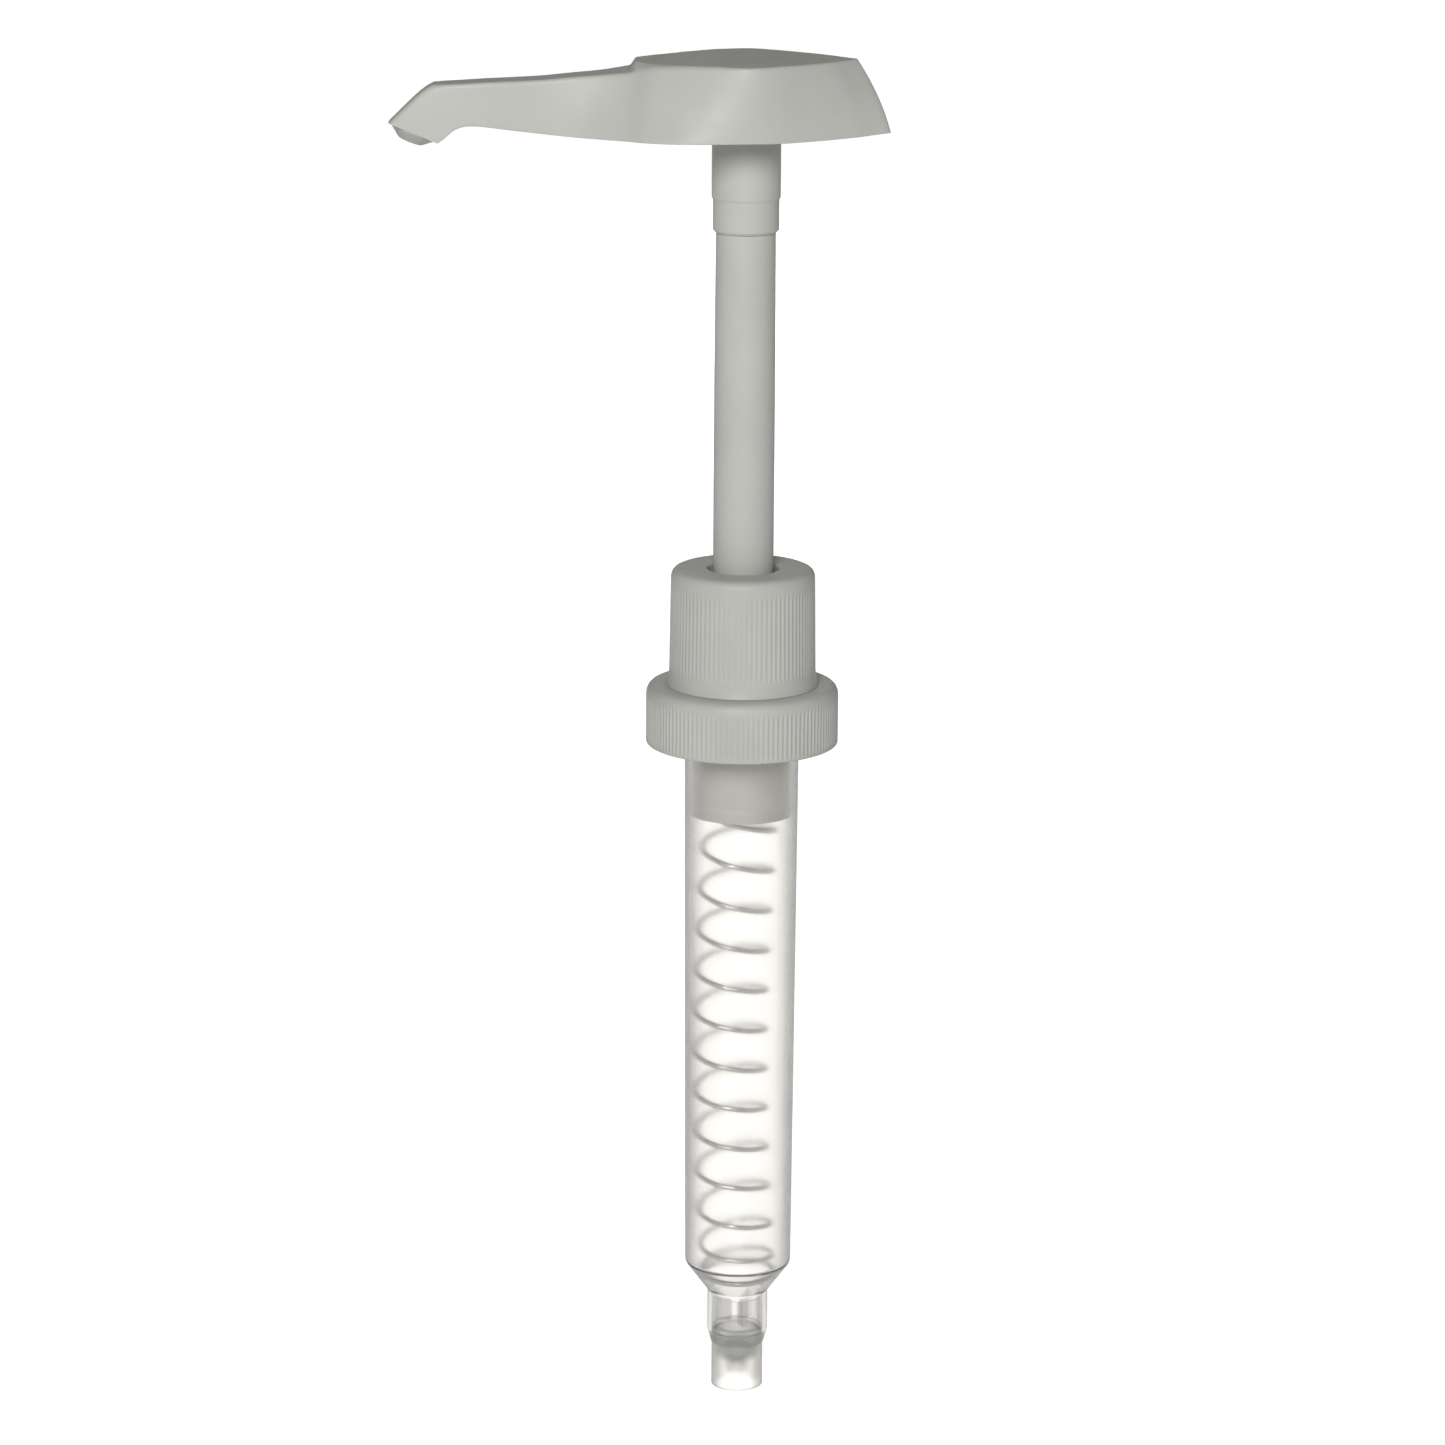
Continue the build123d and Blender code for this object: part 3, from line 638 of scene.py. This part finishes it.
def skin(loops):
    """A closed skin over the loops, pointed at the first and flat at the last."""
    ring = len(loops[0])
    verts = [p for loop in loops for p in loop]
    faces = []
    for i in range(1, len(loops)):
        for k in range(ring):
            m = (k + 1) % ring
            faces.append(((i - 1) * ring + k, (i - 1) * ring + m, i * ring + m, i * ring + k))
    last = (len(loops) - 1) * ring
    faces.append(tuple(range(last, last + ring)))
    return verts, faces


# the outlet's face runs across the spout's tip, and heights above it point up into the spout
tip_front, tip_heel = np.array(TIP_FRONT), np.array(TIP_HEEL)
outlet_mid = (tip_front + tip_heel) / 2
outlet_up = np.array((tip_front[1] - tip_heel[1], tip_heel[0] - tip_front[0]))
outlet_up = outlet_up / np.linalg.norm(outlet_up)


def along_outlet(verts):
    """Turns a solid made about the Z axis so that it stands on the outlet's face."""
    ux, uz = outlet_up
    return [
        (outlet_mid[0] + x * uz + z * ux, y, outlet_mid[1] - x * ux + z * uz) for x, y, z in verts
    ]


def outlet_loops(last_loop):
    """Loops from the tip's face into the nozzle's pocket and the channel above it."""
    ux, uz = outlet_up
    angles = [
        math.atan2(y, (x - outlet_mid[0]) * uz - (z - outlet_mid[1]) * ux) for x, y, z in last_loop
    ]
    pocket = [(SPIGOT_FIT_R, 0), (SPIGOT_FIT_R, NOZZLE_DEPTH), (CHANNEL_R, NOZZLE_DEPTH),
              (CHANNEL_R, CHANNEL_DEPTH - 1.5), (CHANNEL_END_R, CHANNEL_DEPTH)]
    return [
        along_outlet([(r * math.cos(a), r * math.sin(a), h) for a in angles]) for r, h in pocket
    ]


head_rows = smooth_rows(HEAD_STATIONS, ROWS_PER_STATION)
head_loops = [mirrored_loop(half) for half in head_sections(head_rows)]
head_loops += outlet_loops(head_loops[-1])
head = mesh_piece("pump_head_with_spout", *skin(head_loops), grey_plastic)
place(head, "head", "grey_plastic", "head_shell")
ring_verts, ring_faces = lathe(
    rounded(
        (NOZZLE_BORE_R, -NOZZLE_STANDOUT, 0.3),
        (NOZZLE_RIM_R, -NOZZLE_STANDOUT, 0.6),
        (NOZZLE_LONG, -0.25, 0),
        (NOZZLE_LONG, -0.02, 0),
        (SPIGOT_FIT_R - FIT, -0.02, 0),
        (SPIGOT_FIT_R - FIT, NOZZLE_DEPTH - FIT, 0),
        (NOZZLE_BORE_R, NOZZLE_DEPTH - FIT, 0),
    ),
    96,
)


def nozzle_squeeze(x, y):
    """Share of the ring's width that is left: round at its opening, oval where it meets the spout."""
    return 1 - (1 - NOZZLE_HALF_W / NOZZLE_LONG) * rise(math.hypot(x, y), 2.8, 4.6)


ring_verts = [(x, y * nozzle_squeeze(x, y), z) for x, y, z in ring_verts]
nozzle_ring = mesh_piece("nozzle_ring", along_outlet(ring_verts), ring_faces, nozzle_plastic)
place(nozzle_ring, "head", "nozzle_plastic", "nozzle_tip")

# boss and ribs under the head that hold the stem's socket
turned(
    "head_socket_boss",
    rounded(
        (SOCKET_R + 0.1, BOSS_FOOT, 0.2),
        (BOSS_R, BOSS_FOOT, 0.3),
        (BOSS_R, INSIDE_TOP, 0),
        (SOCKET_R + 0.1, INSIDE_TOP, 0),
    ),
    "head", "grey_plastic", grey_plastic, segments=96,
)


def bar(x, half, low, high, thick):
    """A rib across the head, thinner at its foot, with rounded lower edges."""
    profile = [(-thick * 0.4, low + 0.3), (-thick * 0.25, low), (thick * 0.25, low), (thick * 0.4, low + 0.3),
               (thick * 0.5, high), (-thick * 0.5, high)]
    verts = [(x + dx, side * half, z) for side in (-1, 1) for dx, z in profile]
    count = len(profile)
    faces = [(k, (k + 1) % count, count + (k + 1) % count, count + k) for k in range(count)]
    faces += [tuple(range(count)), tuple(range(count, 2 * count))]
    return verts, faces


for rib_name, rib_x, rib_half in HEAD_RIBS:
    rib_mesh = bar(rib_x, rib_half, BOSS_FOOT, INSIDE_TOP, HEAD_RIB_THICK)
    place(mesh_piece(rib_name, *rib_mesh, grey_plastic), "head", "grey_plastic")

# ---------------------------------------------------------------- finishes of the carried-over parts
CARRIED = {
    "neck_gasket": seal_rubber,
    "stem_guide": grey_plastic,
    "wiper_seal": seal_plastic,
    "ball_cage": cage_plastic,
    "foot_valve_seat": valve_plastic,
    "dip_tube": tube_plastic,
    "piston_body": seal_plastic,
    "piston_seal": seal_plastic,
    "stem_o_ring": seal_rubber,
    "inlet_ball": ball_steel,
    "outlet_ball": ball_steel,
    "ball_stop": valve_plastic,
    "stem_socket": grey_plastic,
}
for node, material in CARRIED.items():
    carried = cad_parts[node]
    carried.data.materials.clear()
    carried.data.materials.append(material)


# ---------------------------------------------------------------- floor, light and camera
def seen_directly(tree):
    """1 for rays from the camera and rays through clear plastic, and 0 for light falling on things."""
    path = tree.nodes.new("ShaderNodeLightPath")
    return math_node(tree, "MAXIMUM", path.outputs["Is Camera Ray"], path.outputs["Is Transmission Ray"])


def studio_floor():
    """A wide plain pale floor that gives off a little light."""
    corners = [(-1, -1), (1, -1), (1, 1), (-1, 1)]
    verts = [(x * FLOOR_REACH, y * FLOOR_REACH, FLOOR_Z) for x, y in corners]
    material, tree, shader, where = node_material("studio_paper")
    paper = ramp(tree, noise(tree, where, 3), [(0.3, 0.38), (0.7, 0.4)])
    tree.links.new(paper, shader.inputs["Base Color"])
    shader.inputs["Roughness"].default_value = 0.9
    shader.inputs["Emission Color"].default_value = (1, 1, 1, 1)
    glow = ramp(tree, seen_directly(tree), [(0.0, FLOOR_GLOW), (1.0, FLOOR_SEEN)])
    tree.links.new(glow, shader.inputs["Emission Strength"])
    mesh_piece("studio_floor", verts, [(0, 1, 2, 3)], material)


def studio_world():
    """Soft light, dim overhead, with a white backdrop where the camera sees past the floor."""
    world = bpy.data.worlds.new("studio")
    bpy.context.scene.world = world
    world.use_nodes = True
    tree = world.node_tree
    where = tree.nodes.new("ShaderNodeTexCoord")
    split = tree.nodes.new("ShaderNodeSeparateXYZ")
    tree.links.new(where.outputs["Generated"], split.inputs["Vector"])
    light = ramp(
        tree, split.outputs["Z"], [(0.0, 0.2), (0.1, 0.14), (0.25, 0.1), (0.6, 0.08), (1.0, 0.08)]
    )
    backdrop = tree.nodes.new("ShaderNodeMix")
    backdrop.data_type = "RGBA"
    factor, shown, white = backdrop.inputs[0], backdrop.inputs[6], backdrop.inputs[7]
    tree.links.new(seen_directly(tree), factor)
    tree.links.new(light, shown)
    white.default_value = (1, 1, 1, 1)
    tree.links.new(backdrop.outputs[2], tree.nodes["Background"].inputs["Color"])


def soft_light(name, at, size, watts, mirrored=True):
    """A round softbox aimed at the origin, in metres. With mirrored off it doesn't show in gloss."""
    light = bpy.data.lights.new(name, "AREA")
    light.shape = "DISK"
    light.size = size
    light.energy = watts
    lamp = bpy.data.objects.new(name, light)
    bpy.context.scene.collection.objects.link(lamp)
    lamp.location = at
    lamp.rotation_mode = "QUATERNION"
    lamp.rotation_quaternion = (-Vector(at)).to_track_quat("-Z", "Y")
    lamp.visible_glossy = mirrored
    lamp.visible_transmission = mirrored


studio_floor()
studio_world()
soft_light("front_softbox", at=(-0.2, -1.75, 0.95), size=0.8, watts=33)
soft_light("back_softbox", at=(0.0, 1.8, 0.4), size=0.6, watts=14, mirrored=False)

camera_data = bpy.data.cameras.new("camera")
camera_data.lens, camera_data.sensor_width, camera_data.clip_end = LENS, SENSOR, CLIP_END
camera = bpy.data.objects.new("camera", camera_data)
bpy.context.scene.collection.objects.link(camera)
camera.location = CAMERA_AT
camera.rotation_mode = "QUATERNION"
camera.rotation_quaternion = (
    Quaternion((1, 0, 0), math.pi / 2 - PITCH_DOWN) @ Quaternion((0, 0, 1), ROLL)
)
scene = bpy.context.scene
scene.camera = camera
scene.view_settings.view_transform = "Standard"
scene.cycles.transparent_max_bounces = 32
